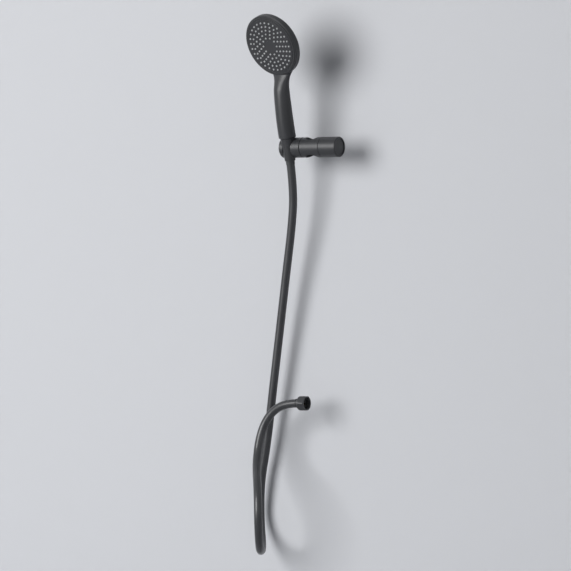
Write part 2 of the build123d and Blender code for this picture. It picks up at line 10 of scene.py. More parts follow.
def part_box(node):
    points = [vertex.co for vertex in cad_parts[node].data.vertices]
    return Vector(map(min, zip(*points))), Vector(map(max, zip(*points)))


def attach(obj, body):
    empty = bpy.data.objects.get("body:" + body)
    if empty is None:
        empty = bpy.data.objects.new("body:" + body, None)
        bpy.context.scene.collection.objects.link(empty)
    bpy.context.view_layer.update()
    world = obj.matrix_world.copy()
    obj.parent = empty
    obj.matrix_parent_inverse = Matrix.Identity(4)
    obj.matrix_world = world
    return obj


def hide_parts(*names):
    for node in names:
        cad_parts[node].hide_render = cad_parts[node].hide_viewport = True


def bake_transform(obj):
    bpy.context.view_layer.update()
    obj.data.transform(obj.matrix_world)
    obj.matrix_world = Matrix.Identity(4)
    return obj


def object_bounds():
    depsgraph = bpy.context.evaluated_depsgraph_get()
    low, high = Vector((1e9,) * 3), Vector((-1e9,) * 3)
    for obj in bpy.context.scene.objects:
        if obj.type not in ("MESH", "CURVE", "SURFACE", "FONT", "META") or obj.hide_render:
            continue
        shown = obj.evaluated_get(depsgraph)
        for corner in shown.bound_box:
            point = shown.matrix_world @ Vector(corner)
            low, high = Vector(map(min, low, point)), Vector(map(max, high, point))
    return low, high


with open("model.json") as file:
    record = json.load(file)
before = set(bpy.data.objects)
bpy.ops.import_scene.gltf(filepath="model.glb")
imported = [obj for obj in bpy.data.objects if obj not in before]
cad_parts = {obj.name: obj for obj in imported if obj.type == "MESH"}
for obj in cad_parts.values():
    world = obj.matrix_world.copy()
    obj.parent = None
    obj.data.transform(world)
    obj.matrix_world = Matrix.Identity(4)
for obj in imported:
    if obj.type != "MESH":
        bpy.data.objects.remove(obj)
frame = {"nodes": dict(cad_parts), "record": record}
cad_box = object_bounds()

bl_info = {
    "name": "Hand Shower Finishes",
    "version": (1, 0, 0),
    "blender": (4, 5, 0),
    "location": "View3D > Sidebar > Hand Shower",
    "description": "Dresses the hand shower, its holder and its hose",
    "category": "Object",
}

# the tilts of the cup, the handset in it and its face, in degrees
CUP_TILT = 12.0
HANDSET_TURN = 9.0
FACE_PITCH = 13.0
# the foot of the handset in the cup
CONE_FOOT = (-0.0435, -0.0086, 0)
# the cap in the middle of the face: how far its middle stands out of the face plane
CAP_MIDDLE = 0.0011

# the height up the handset where the grip meets the neck, and how far its front is rounded below and above
NECK_LOW = 0.102
NECK_EASE = 0.019
# the cuts made for that each way, how many of them a cut is averaged with, and the radius of the waterway,
# whose points stay
NECK_CUTS = 19
NECK_SPREAD = 10
NECK_BORE = 0.0075
# points this near to a cut are moved to it, and points this near to it are taken to be on it
CUT_SNAP = 1e-7
ON_CUT = 1e-6

# points this near to each other are merged, and faces that meet below this angle are shaded as one
MERGE = 2e-6
CREASE = math.radians(28)

# shares of a nozzle's length: its lip and its spray hole
LIP_SHARE = 0.06
HOLE_SHARE = 0.3
# share of its tip's radius: the inside of the lip
LIP_INSIDE = 0.8
# share of the mat's thickness: how far its root is sunk in the mat
ROOT_SHARE = 0.3
# faces round a nozzle and round the mat, and the distance at which the nozzle's walls are merged
NOZZLE_SIDES = 16
MAT_SIDES = 96
NOZZLE_MERGE = 1e-6

# the axis of the union nut, and where its thread and the lower crimps begin along it
UNION_Z = -0.4265
THREAD_X = -0.0191
LOWER_CRIMP_X = -0.0327
# where the upper crimps begin along the axis of the handset
UPPER_CRIMP_Z = -0.0257
# points of a turn of the thread and of its section, and of a crimp ring and of its section
THREAD_STEPS = 48
THREAD_CORNERS = 4
CRIMP_STEPS = 40
CRIMP_CORNERS = 8

# route of the hose, from inside the conical nut to inside the union nut, and points read from each stretch
HOSE_ROUTE = [
    (-0.0435, -0.004254, -0.021351),
    (-0.0435, 0.006142, -0.070258),
    (-0.0505, 0.0125, -0.125),
    (-0.0675, 0.0205, -0.205),
    (-0.0855, 0.027, -0.305),
    (-0.1035, 0.032, -0.41),
    (-0.119, 0.038, -0.498),
    (-0.1345, 0.041, -0.563),
    (-0.138, 0.046, -0.6285),
    (-0.1135, 0.017, -0.672),
    (-0.081, -0.039, -0.675),
    (-0.06, -0.0745, -0.6315),
    (-0.064, -0.07, -0.5715),
    (-0.104, -0.0165, -0.5255),
    (-0.1045, -0.0025, -0.476),
    (-0.0875, 0.0, -0.4445),
    (-0.057, 0.0, -0.4265),
    (-0.025, 0.0, -0.4265),
]
ROUTE_STEPS = 16

# each lamp's place from the middle of the object, its size and its power
LAMPS = {
    "key_lamp": ((-1.7, -4.7, 1.1), 3.6, 255),
    "fill_lamp": ((2.8, -2.0, 0.5), 2.0, 2.5),
    "back_lamp": ((-1.6, 3.6, 1.6), 3.0, 60),
}
# how far the backdrop and the floor reach, and how far the camera sees
STAGE_REACH = 3
CAMERA_REACH = 100
# width of the camera's sensor in millimetres
SENSOR_WIDTH = 36

SLIDER_NODES = [
    "slider_body",
    "friction_washer",
    "pivot_screw",
    "wave_washer",
    "holder_cup",
    "clamp_pad",
    "clamp_screw",
    "lock_knob",
    "knob_cap",
]
HANDSET_NODES = [
    "handset_shell",
    "inlet_tail",
    "tail_o_ring",
    "flow_regulator",
    "check_valve",
    "plate_gasket",
    "spray_plate",
    "spray_face",
    "face_ring",
    "face_screw",
    "centre_cap",
]
FITTING_NODES = [
    "conical_nut",
    "filter_washer",
    "hose_upper_insert",
    "hose_upper_ferrule",
    "hose_lower_ferrule",
    "hose_lower_insert",
    "union_washer",
    "union_nut",
]


def length_setting(name, description, default):
    """A property that holds a length in metres."""
    return bpy.props.FloatProperty(name=name, description=description, default=default, unit="LENGTH")


def count_setting(name, description, default, least=1):
    """A property that holds a whole number."""
    return bpy.props.IntProperty(name=name, description=description, default=default, min=least)


def colour_setting(name, description, default):
    """A property that holds a colour."""
    return bpy.props.FloatVectorProperty(
        name=name, description=description, default=default, size=3, subtype="COLOR"
    )


class HandsetSizes(bpy.types.PropertyGroup):
    """Sizes of the spray nozzles."""

    rows: count_setting("Rows", "Rings of nozzles", 5)
    first_row: length_setting("First row", "Radius of the inner ring", 0.015)
    row_step: length_setting("Row step", "Radius from one ring to the next", 0.006775)
    spacing: length_setting("Spacing", "Way along a ring between nozzles", 0.009)
    root_radius: length_setting("Root radius", "Nozzle radius at the mat", 0.0015)
    tip_radius: length_setting("Tip radius", "Nozzle radius at the tip", 0.0013)
    bore_radius: length_setting("Bore radius", "Radius of the spray hole", 0.00045)
    length: length_setting("Nozzle length", "From the mat to the tip", 0.0042)
    mat_radius: length_setting("Mat radius", "Radius of the soft mat", 0.047)
    mat_front: length_setting("Mat front", "Front of the mat, out of the face plane", -0.0014)
    mat_thick: length_setting("Mat thickness", "Thickness of the soft mat", 0.0015)


class HoseSizes(bpy.types.PropertyGroup):
    """Sizes of the hose and of what shows at its ends."""

    diameter: length_setting("Diameter", "Outside of the hose", 0.014)
    length: length_setting("Length", "Length along the route", 1.076)
    sides: count_setting("Sides", "Faces round the hose", 28, least=8)
    thread_pitch: length_setting("Thread pitch", "Pitch of the pipe thread", 0.001814)
    thread_radius: length_setting("Thread radius", "Middle of the thread's ridge", 0.0101)
    thread_depth: length_setting("Thread depth", "Radius of the ridge", 0.0007)
    thread_length: length_setting("Thread length", "Threaded part of the union nut", 0.0062)
    crimp_radius: length_setting("Crimp radius", "Radius of a ferrule's rings", 0.00735)
    crimp_height: length_setting("Crimp height", "Half thickness of a ring", 0.00035)
    crimp_step: length_setting("Crimp step", "From ring to ring", 0.0016)
    crimp_count: count_setting("Crimps", "Rings on a ferrule", 3)


class FinishColours(bpy.types.PropertyGroup):
    """Colours of the finishes."""

    black: colour_setting("Matte black", "Mouldings", (0.034, 0.035, 0.038))
    coated: colour_setting("Coated metal", "Nuts and ferrules", (0.03, 0.031, 0.034))
    hose: colour_setting("Hose", "Outside of the hose", (0.032, 0.033, 0.036))
    nozzle: colour_setting("Nozzles", "Soft nozzles", (0.56, 0.57, 0.58))
    rubber: colour_setting("Seals", "Seals and pad", (0.02, 0.02, 0.02))
    white: colour_setting("Inner parts", "White inner mouldings", (0.78, 0.78, 0.76))
    steel: colour_setting("Steel", "Screws", (0.6, 0.6, 0.6))
    brass: colour_setting("Brass", "Turned inserts", (0.72, 0.56, 0.28))


class StageSettings(bpy.types.PropertyGroup):
    """The studio and the camera."""

    azimuth: bpy.props.FloatProperty(
        name="Azimuth", description="Camera round the object", default=math.radians(34), subtype="ANGLE"
    )
    distance: length_setting("Distance", "Camera from the object", 8.5)
    view_height: length_setting("View height", "Height that fills the frame", 0.952)
    wall_y: length_setting("Wall", "Backdrop behind the rail", 0.062)
    floor_drop: length_setting("Floor drop", "Floor below the hose", 0.08)
    wall_colour: colour_setting("Wall colour", "Backdrop and floor", (0.565, 0.575, 0.6))
    glow: bpy.props.FloatProperty(name="Glow", description="Light from all around", default=0.14, min=0)


class HandShowerSettings(bpy.types.PropertyGroup):
    """All the settings of the hand shower."""

    handset: bpy.props.PointerProperty(type=HandsetSizes)
    hose: bpy.props.PointerProperty(type=HoseSizes)
    colours: bpy.props.PointerProperty(type=FinishColours)
    stage: bpy.props.PointerProperty(type=StageSettings)


class Wire:
    """A socket of a node tree. Arithmetic on it adds Math nodes."""

    def __init__(self, nodes, socket):
        self.nodes = nodes
        self.socket = socket

    def math(self, operation, first, second):
        return self.nodes.node("ShaderNodeMath", {"operation": operation}, {0: first, 1: second})

    def __add__(self, other):
        return self.math("ADD", self, other)

    __radd__ = __add__

    def __sub__(self, other):
        return self.math("SUBTRACT", self, other)

    def __rsub__(self, other):
        return self.math("SUBTRACT", other, self)

    def __mul__(self, other):
        return self.math("MULTIPLY", self, other)

    __rmul__ = __mul__

    def __truediv__(self, other):
        return self.math("DIVIDE", self, other)

    def __rtruediv__(self, other):
        return self.math("DIVIDE", other, self)

    def rounded(self):
        return self.math("ROUND", self, 0)


class Nodes:
    """A node tree whose nodes all come from one method."""

    def __init__(self, tree):
        self.tree = tree

    def node(self, kind, settings, inputs, output=0):
        """Adds a node, sets its settings, then its sockets' values or links. A list holds many links."""
        made = self.tree.nodes.new(kind)
        for key, value in settings.items():
            setattr(made, key, value)
        for key, value in inputs.items():
            for one in value if isinstance(value, list) else [value]:
                self.plug(made.inputs[key], one)
        return Wire(self, made.outputs[output])

    def plug(self, socket, value):
        """Links a wire to a socket, or sets the socket's own value."""
        if isinstance(value, Wire):
            self.tree.links.new(value.socket, socket)
        else:
            socket.default_value = value


class Finish(Nodes):
    """A material whose tree ends in one Principled shader."""

    def __init__(self, name):
        self.material = bpy.data.materials.new(name)
        self.material.use_nodes = True
        super().__init__(self.material.node_tree)
        self.shader = self.tree.nodes["Principled BSDF"]

    def place(self, source="Object"):
        """Where a point is on the part, or on the piece's own map."""
        return self.node("ShaderNodeTexCoord", {}, {}, source)

    def stretched(self, place, scale):
        """A place whose three ways are scaled on their own."""
        return self.node("ShaderNodeMapping", {}, {"Vector": place, "Scale": scale})

    def noise(self, place, size, detail=2.0):
        """Noise with lumps of about that size in metres."""
        return self.node(
            "ShaderNodeTexNoise", {}, {"Vector": place, "Scale": 1 / size, "Detail": detail}, "Fac"
        )

    def tint(self, colour, share, depth):
        """A colour that goes darker and lighter by depth as share goes from 0 to 1."""
        low = (*[c * (1 - depth) for c in colour], 1)
        high = (*[c * (1 + depth) for c in colour], 1)
        return self.node(
            "ShaderNodeMix", {"data_type": "RGBA"}, {"Factor": share, "A": low, "B": high}, "Result"
        )

    def bump(self, height, depth):
        """Relief of that depth in metres."""
        return self.node("ShaderNodeBump", {}, {"Height": height, "Distance": depth, "Strength": 1.0})

    def set(self, **inputs):
        """Sets the shader's sockets and gives the material."""
        for key, value in inputs.items():
            self.plug(self.shader.inputs[key.replace("_", " ").title()], value)
        return self.material


def moulded_finish(name, colour, roughness, grain, grain_depth):
    """Fine spark-eroded texture of a moulding, with slightly uneven gloss."""
    finish = Finish(name)
    place = finish.place()
    cloud = finish.noise(place, size=0.03, detail=3.0)
    fine = finish.noise(place, size=grain)
    pits = finish.noise(place, size=grain * 3, detail=1.0)
    finish.shader.inputs["Specular IOR Level"].default_value = 0.4
    return finish.set(
        base_color=finish.tint(colour, cloud * 0.5 + fine * 0.5, depth=0.22),
        roughness=roughness - 0.06 + cloud * 0.08 + fine * 0.05,
        normal=finish.bump(fine + pits * 0.5, grain_depth),
    )


def coated_finish(name, colour):
    """Powder coat on turned metal: a faint orange peel under a satin sheen."""
    finish = Finish(name)
    place = finish.place()
    peel = finish.noise(place, size=0.0011, detail=1.0)
    cloud = finish.noise(place, size=0.02)
    return finish.set(
        base_color=finish.tint(colour, cloud, depth=0.15),
        roughness=0.3 + cloud * 0.08 + peel * 0.04,
        coat_weight=0.08 + cloud * 0.06,
        normal=finish.bump(peel, depth=0.00006),
    )


def hose_finish(name, colour):
    """Smooth extruded hose: fine lines along it and a soft, uneven sheen."""
    finish = Finish(name)
    drawn = finish.noise(finish.stretched(finish.place("UV"), (220, 3, 1)), size=1.0)
    cloud = finish.noise(finish.place(), size=0.018, detail=3.0)
    return finish.set(
        base_color=finish.tint(colour, cloud * 0.6 + drawn * 0.4, depth=0.2),
        roughness=0.27 + cloud * 0.1 + drawn * 0.05,
        coat_weight=0.12 + cloud * 0.1,
        normal=finish.bump(drawn + cloud, depth=0.00006),
    )


def rubber_finish(name, colour, roughness):
    """Soft rubber with a dusty, slightly mottled surface."""
    finish = Finish(name)
    place = finish.place()
    cloud = finish.noise(place, size=0.006, detail=3.0)
    fine = finish.noise(place, size=0.0003)
    return finish.set(
        base_color=finish.tint(colour, cloud * 0.7 + fine * 0.3, depth=0.16),
        roughness=roughness - 0.05 + cloud * 0.1,
        normal=finish.bump(fine, depth=0.00003),
    )


def turned_finish(name, colour, roughness):
    """Bare turned metal with fine tool marks across the slider's axis."""
    finish = Finish(name)
    lathe = finish.noise(finish.stretched(finish.place(), (5000, 200, 200)), size=1.0)
    return finish.set(
        base_color=finish.tint(colour, lathe, depth=0.1),
        roughness=roughness - 0.05 + lathe * 0.12,
        metallic=1.0,
        normal=finish.bump(lathe, depth=0.00002),
    )


# for each material slot of the record: what makes its finish, the colour and the other settings
FINISHES = {
    "black_abs": (moulded_finish, "black", {"roughness": 0.35, "grain": 0.00045, "grain_depth": 0.00005}),
    "black_metal": (coated_finish, "coated", {}),
    "hose_pvc": (hose_finish, "hose", {}),
    "nozzle_silicone": (rubber_finish, "nozzle", {"roughness": 0.5}),
    "seal_rubber": (rubber_finish, "rubber", {"roughness": 0.65}),
    "white_pom": (moulded_finish, "white", {"roughness": 0.4, "grain": 0.0008, "grain_depth": 0.00003}),
    "steel": (turned_finish, "steel", {"roughness": 0.3}),
    "brass": (turned_finish, "brass", {"roughness": 0.28}),
}


def finish_for(slot):
    """The material of a slot, made when it is first asked for."""
    name = slot + "_finish"
    if name in bpy.data.materials:
        return bpy.data.materials[name]
    maker, colour, settings = FINISHES[slot]
    return maker(name, getattr(bpy.context.scene.hand_shower.colours, colour), **settings)


def slot_of(node):
    """The material slot that the record gives a node."""
    return next(row["material_slot"] for row in frame["record"]["subparts"] if row["node"] == node)


def body_of_node(node):
    """The body that the record puts a node on."""
    bodies = frame["record"]["behaviour"]["bodies"]
    return next(body for body, nodes in bodies.items() if node in nodes)


def new_piece(name, mesh, slot):
    """An object at the origin with the finish of a slot."""
    piece = bpy.data.objects.new(name, mesh)
    bpy.context.scene.collection.objects.link(piece)
    mesh.materials.clear()
    mesh.materials.append(finish_for(slot))
    return piece


def smooth_copy(node, ease=None):
    """A copy of a node, merged, shaped by ease where that is given, with gentle edges shaded smooth."""
    source = frame["nodes"][node].data
    mesh = bpy.data.meshes.new(node + "_smooth")
    mesh.from_pydata([v.co for v in source.vertices], [], [p.vertices[:] for p in source.polygons])
    form = bmesh.new()
    form.from_mesh(mesh)
    bmesh.ops.remove_doubles(form, verts=form.verts, dist=MERGE)
    bmesh.ops.dissolve_degenerate(form, edges=form.edges, dist=MERGE)
    if ease:
        ease(form)
    form.to_mesh(mesh)
    form.free()
    mesh.shade_smooth()
    mesh.set_sharp_from_angle(angle=CREASE)
    piece = new_piece(node + "_smooth", mesh, slot_of(node))
    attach(piece, body_of_node(node))
    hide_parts(node)


def turn(degrees, axis):
    """A turn about an axis through the origin."""
    return Matrix.Rotation(math.radians(degrees), 4, axis)


def handset_frame():
    """The frame of the handset: its foot in the cup, Y towards the wall and Z up the grip."""
    return turn(CUP_TILT, "X") @ Matrix.Translation(CONE_FOOT) @ turn(-HANDSET_TURN, "Z")


def ease_neck(form):
    """Round the front of the handset where the grip meets the neck."""
    form.transform(handset_frame().inverted())
    gap = NECK_EASE / NECK_CUTS
    heights = [NECK_LOW + gap * cut for cut in range(-NECK_CUTS, NECK_CUTS + 1)]
    for height in heights:
        whole = [*form.verts, *form.edges, *form.faces]
        bmesh.ops.bisect_plane(
            form, geom=whole, dist=CUT_SNAP, plane_co=(0, 0, height), plane_no=(0, 0, 1)
        )
    fronts = [min(v.co.y for v in form.verts if abs(v.co.z - height) < ON_CUT) for height in heights]
    moves = []
    for place, front in enumerate(fronts):
        reach = min(NECK_SPREAD, place, len(fronts) - 1 - place)
        shares = {step: reach + 1 - abs(step) for step in range(-reach, reach + 1)}
        total = sum(fronts[place + step] * share for step, share in shares.items())
        moves.append(total / sum(shares.values()) - front)
    for vert in form.verts:
        place = round((vert.co.z - heights[0]) / gap)
        if 0 <= place < len(heights) and vert.co.y < 0 and vert.co.xy.length > NECK_BORE:
            vert.co.y += moves[place] * vert.co.y / fronts[place]
    form.transform(handset_frame())


def face_frame():
    """The frame of the spray face: X across it, Y up it and Z out of it."""
    across, back, up = handset_frame().to_3x3().col
    pitch = math.radians(FACE_PITCH)
    out = -back * math.cos(pitch) - up * math.sin(pitch)
    rise = up * math.cos(pitch) - back * math.sin(pitch)
    low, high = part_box("centre_cap")
    middle = (Vector(low) + Vector(high)) / 2 - out * CAP_MIDDLE
    return Matrix.Translation(middle) @ Matrix((across, rise, out)).transposed().to_4x4()


class GeometryTree(Nodes):
    """A Geometry Nodes tree with named inputs, which ends in realized instances and one material."""

    def __init__(self, name, inputs):
        super().__init__(bpy.data.node_groups.new(name, "GeometryNodeTree"))
        self.values = inputs
        self.sockets = {}
        for label, value in inputs.items():
            kind = "NodeSocketInt" if isinstance(value, int) else "NodeSocketFloat"
            self.sockets[label] = self.tree.interface.new_socket(label, in_out="INPUT", socket_type=kind)
        self.tree.interface.new_socket("Geometry", in_out="OUTPUT", socket_type="NodeSocketGeometry")
        self.source = self.tree.nodes.new("NodeGroupInput")
        self.result = self.tree.nodes.new("NodeGroupOutput")

    def __getitem__(self, label):
        return Wire(self, self.source.outputs[label])

    def joined(self, pieces):
        return self.node("GeometryNodeJoinGeometry", {}, {0: pieces})

    def flipped(self, geometry):
        return self.node("GeometryNodeFlipFaces", {}, {0: geometry})

    def lifted(self, geometry, height):
        offset = self.node("ShaderNodeCombineXYZ", {}, {"Z": height})
        return self.node("GeometryNodeTransform", {}, {"Geometry": geometry, "Translation": offset})

    def circle(self, steps, radius):
        """A round curve at height 0."""
        return self.node("GeometryNodeCurvePrimitiveCircle", {}, {"Resolution": steps, "Radius": radius})

    def bake(self, geometry, slot):
        """Runs the tree and gives its result as a plain mesh."""
        whole = self.node("GeometryNodeRealizeInstances", {}, {0: geometry})
        painted = self.node(
            "GeometryNodeSetMaterial", {}, {"Geometry": whole, "Material": finish_for(slot)}
        )
        self.plug(self.result.inputs["Geometry"], painted)
        carrier = bpy.data.objects.new(self.tree.name, bpy.data.meshes.new(self.tree.name))
        bpy.context.scene.collection.objects.link(carrier)
        modifier = carrier.modifiers.new("Nodes", "NODES")
        modifier.node_group = self.tree
        for label, value in self.values.items():
            modifier[self.sockets[label].identifier] = value
        seen = carrier.evaluated_get(bpy.context.evaluated_depsgraph_get())
        mesh = bpy.data.meshes.new_from_object(seen)
        carrier.modifiers.remove(modifier)
        bpy.data.objects.remove(carrier)
        return mesh


class HANDSHOWER_OT_slider(bpy.types.Operator):
    """Finish the clamp body, the swivelling cup, the pad and the knob"""

    bl_idname = "handshower.slider"
    bl_label = "Slider and Holder"

    def execute(self, context):
        for node in SLIDER_NODES:
            smooth_copy(node)
        return {"FINISHED"}


class HANDSHOWER_OT_handset(bpy.types.Operator):
    """Finish the shell of the handset, its face and what is inside"""

    bl_idname = "handshower.handset"
    bl_label = "Handset"

    def execute(self, context):
        for node in HANDSET_NODES:
            smooth_copy(node, ease=ease_neck if node == "handset_shell" else None)
        return {"FINISHED"}


class HANDSHOWER_OT_nozzles(bpy.types.Operator):
    """Make the soft mat with its rings of nozzles, each with a spray hole"""

    bl_idname = "handshower.nozzles"
    bl_label = "Nozzles"

    def execute(self, context):
        sizes = context.scene.hand_shower.handset
        tree = GeometryTree(
            "nozzle_field",
            {
                "First Row": sizes.first_row,
                "Row Step": sizes.row_step,
                "Spacing": sizes.spacing,
                "Root Radius": sizes.root_radius,
                "Tip Radius": sizes.tip_radius,
                "Bore Radius": sizes.bore_radius,
                "Length": sizes.length,
                "Mat Radius": sizes.mat_radius,
                "Mat Thickness": sizes.mat_thick,
                "Sides": NOZZLE_SIDES,
            },
        )
        spread = tree.node(
            "GeometryNodeInstanceOnPoints",
            {},
            {"Points": self.rings(tree, sizes.rows), "Instance": self.nozzle(tree)},
        )
        mesh = tree.bake(tree.joined([self.mat(tree), spread]), "nozzle_silicone")
        mesh.transform(face_frame() @ Matrix.Translation((0, 0, sizes.mat_front)))
        piece = new_piece("nozzle_field", mesh, "nozzle_silicone")
        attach(piece, body_of_node("nozzle_mat"))
        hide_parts("nozzle_mat")
        return {"FINISHED"}

    def mat(self, tree):
        """The disc that the nozzles stand on, its front at height 0."""
        disc = tree.node(
            "GeometryNodeMeshCylinder",
            {"fill_type": "NGON"},
            {"Vertices": MAT_SIDES, "Radius": tree["Mat Radius"], "Depth": tree["Mat Thickness"]},
        )
        return tree.lifted(disc, -0.5 * tree["Mat Thickness"])

    def rings(self, tree, rows):
        """The points that the nozzles stand at."""
        rings = []
        for row in range(rows):
            radius = tree["First Row"] + tree["Row Step"] * row
            count = (radius * (2 * math.pi) / tree["Spacing"]).rounded()
            rings.append(
                tree.node(
                    "GeometryNodeMeshCircle", {"fill_type": "NONE"}, {"Vertices": count, "Radius": radius}
                )
            )
        return tree.joined(rings)

    def wall(self, tree, bottom, top, depth):
        """The side of a cone that stands at height 0."""
        return tree.node(
            "GeometryNodeMeshCone",
            {"fill_type": "NONE"},
            {"Vertices": tree["Sides"], "Radius Bottom": bottom, "Radius Top": top, "Depth": depth},
        )

    def disc(self, tree, radius):
        """A round face at height 0 that looks up."""
        return tree.node(
            "GeometryNodeMeshCircle", {"fill_type": "NGON"}, {"Vertices": tree["Sides"], "Radius": radius}
        )

    def nozzle(self, tree):
        """A nozzle with a lip and a spray hole, its root sunk in the mat."""
        root, tip, bore = tree["Root Radius"], tree["Tip Radius"], tree["Bore Radius"]
        lip_inside = tip * LIP_INSIDE
        lip_height = tree["Length"] * LIP_SHARE
        hole_depth = tree["Length"] * HOLE_SHARE
        sunk = tree["Mat Thickness"] * ROOT_SHARE
        crown = tree["Length"] - lip_height
        hole_low = crown - hole_depth
        root_low = 0 - sunk
        walls = [
            self.wall(tree, root, tip, crown),
            tree.lifted(self.wall(tree, tip, lip_inside, lip_height), crown),
            tree.flipped(tree.lifted(self.wall(tree, bore, lip_inside, lip_height), crown)),
            tree.flipped(tree.lifted(self.wall(tree, bore, bore, hole_depth), hole_low)),
            tree.lifted(self.disc(tree, bore), hole_low),
            tree.lifted(self.wall(tree, root, root, sunk), root_low),
            tree.lifted(tree.flipped(self.disc(tree, root)), root_low),
        ]
        return tree.node(
            "GeometryNodeMergeByDistance", {}, {"Geometry": tree.joined(walls), "Distance": NOZZLE_MERGE}
        )


class HANDSHOWER_OT_fittings(bpy.types.Operator):
    """Finish both nuts, the ferrules and the seals of the hose"""

    bl_idname = "handshower.fittings"
    bl_label = "Hose Fittings"

    def execute(self, context):
        for node in FITTING_NODES:
            smooth_copy(node)
        sizes = context.scene.hand_shower.hose
        self.thread(sizes)
        upper = turn(CUP_TILT, "X") @ Matrix.Translation((*CONE_FOOT[:2], UPPER_CRIMP_Z))
        lower = Matrix.Translation((LOWER_CRIMP_X, 0, UNION_Z)) @ turn(90, "Y")
        self.crimps("upper_crimps", sizes, upper, "hose_upper_ferrule")
        self.crimps("lower_crimps", sizes, lower, "hose_lower_ferrule")
        return {"FINISHED"}

    def thread(self, sizes):
        """The ridge of the pipe thread inside the union nut."""
        tree = GeometryTree(
            "union_thread",
            {
                "Pitch": sizes.thread_pitch,
                "Radius": sizes.thread_radius,
                "Depth": sizes.thread_depth,
                "Length": sizes.thread_length,
            },
        )
        spiral = tree.node(
            "GeometryNodeCurveSpiral",
            {},
            {
                "Resolution": THREAD_STEPS,
                "Rotations": tree["Length"] / tree["Pitch"],
                "Start Radius": tree["Radius"],
                "End Radius": tree["Radius"],
                "Height": tree["Length"],
            },
        )
        section = tree.circle(THREAD_CORNERS, tree["Depth"])
        ridge = tree.node(
            "GeometryNodeCurveToMesh", {}, {"Curve": spiral, "Profile Curve": section, "Fill Caps": True}
        )
        mesh = tree.bake(ridge, "black_metal")
        mesh.transform(Matrix.Translation((THREAD_X, 0, UNION_Z)) @ turn(90, "Y"))
        piece = new_piece("union_thread", mesh, "black_metal")
        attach(piece, "union_nut")

    def crimps(self, name, sizes, place, node):
        """Rings pressed into a ferrule."""
        tree = GeometryTree(
            name,
            {
                "Radius": sizes.crimp_radius,
                "Height": sizes.crimp_height,
                "Step": sizes.crimp_step,
                "Count": sizes.crimp_count,
            },
        )
        circle = tree.circle(CRIMP_STEPS, tree["Radius"])
        section = tree.circle(CRIMP_CORNERS, tree["Height"])
        ring = tree.node("GeometryNodeCurveToMesh", {}, {"Curve": circle, "Profile Curve": section})
        step = tree.node("ShaderNodeCombineXYZ", {}, {"Z": tree["Step"]})
        line = tree.node("GeometryNodeMeshLine", {}, {"Count": tree["Count"], "Offset": step})
        rings = tree.node("GeometryNodeInstanceOnPoints", {}, {"Points": line, "Instance": ring})
        mesh = tree.bake(rings, "black_metal")
        mesh.shade_smooth()
        mesh.transform(place)
        piece = new_piece(name, mesh, "black_metal")
        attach(piece, body_of_node(node))


class HANDSHOWER_OT_hose(bpy.types.Operator):
    """Make the hose as one smooth tube on its route"""

    bl_idname = "handshower.hose"
    bl_label = "Hose"

    def execute(self, context):
        sizes = context.scene.hand_shower.hose
        path = self.path()
        piece = new_piece("hose", self.tube(path, sizes), "hose_pvc")
        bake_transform(piece)
        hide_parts("hose_tube")
        return {"FINISHED"}

    def path(self):
        """Points read from the smooth curve whose control points are the route."""
        curve = bpy.data.curves.new("hose_route", "CURVE")
        curve.dimensions = "3D"
        spline = curve.splines.new("NURBS")
        spline.points.add(len(HOSE_ROUTE) - 1)
        for point, place in zip(spline.points, HOSE_ROUTE):
            point.co = (*place, 1)
        spline.order_u = 3
        spline.use_endpoint_u = True
        spline.resolution_u = ROUTE_STEPS
        carrier = bpy.data.objects.new("hose_route", curve)
        bpy.context.scene.collection.objects.link(carrier)
        seen = carrier.evaluated_get(bpy.context.evaluated_depsgraph_get())
        mesh = bpy.data.meshes.new_from_object(seen)
        points = [vertex.co.copy() for vertex in mesh.vertices]
        bpy.data.objects.remove(carrier)
        bpy.data.meshes.remove(mesh)
        return points

    def tube(self, path, sizes):
        """A closed tube round the path, with a map that runs round it and along it in metres."""
        form = bmesh.new()
        map_layer = form.loops.layers.uv.new("UVMap")
        rings = []
        ways = []
        side = Vector((1, 0, 0))
        way = 0.0
        for index, point in enumerate(path):
            before = path[max(index - 1, 0)]
            after = path[min(index + 1, len(path) - 1)]
            ahead = (after - before).normalized()
            side = (side - ahead * side.dot(ahead)).normalized()
            up = ahead.cross(side)
            way += (point - before).length
            ways.append(way)
            ring = []
            for step in range(sizes.sides):
                angle = 2 * math.pi * step / sizes.sides
                spoke = side * math.cos(angle) + up * math.sin(angle)
                ring.append(form.verts.new(point + spoke * (sizes.diameter / 2)))
            rings.append(ring)
        for index in range(len(rings) - 1):
            for step in range(sizes.sides):
                beside = (step + 1) % sizes.sides
                corners = [
                    (rings[index][step], step, index),
                    (rings[index][beside], step + 1, index),
                    (rings[index + 1][beside], step + 1, index + 1),
                    (rings[index + 1][step], step, index + 1),
                ]
                face = form.faces.new([vert for vert, _, _ in corners])
                face.smooth = True
                for loop, (_, round_step, way_step) in zip(face.loops, corners):
                    loop[map_layer].uv = (round_step / sizes.sides, ways[way_step])
        form.faces.new(list(reversed(rings[0])))
        form.faces.new(rings[-1])
        mesh = bpy.data.meshes.new("hose")
        form.to_mesh(mesh)
        form.free()
        return mesh


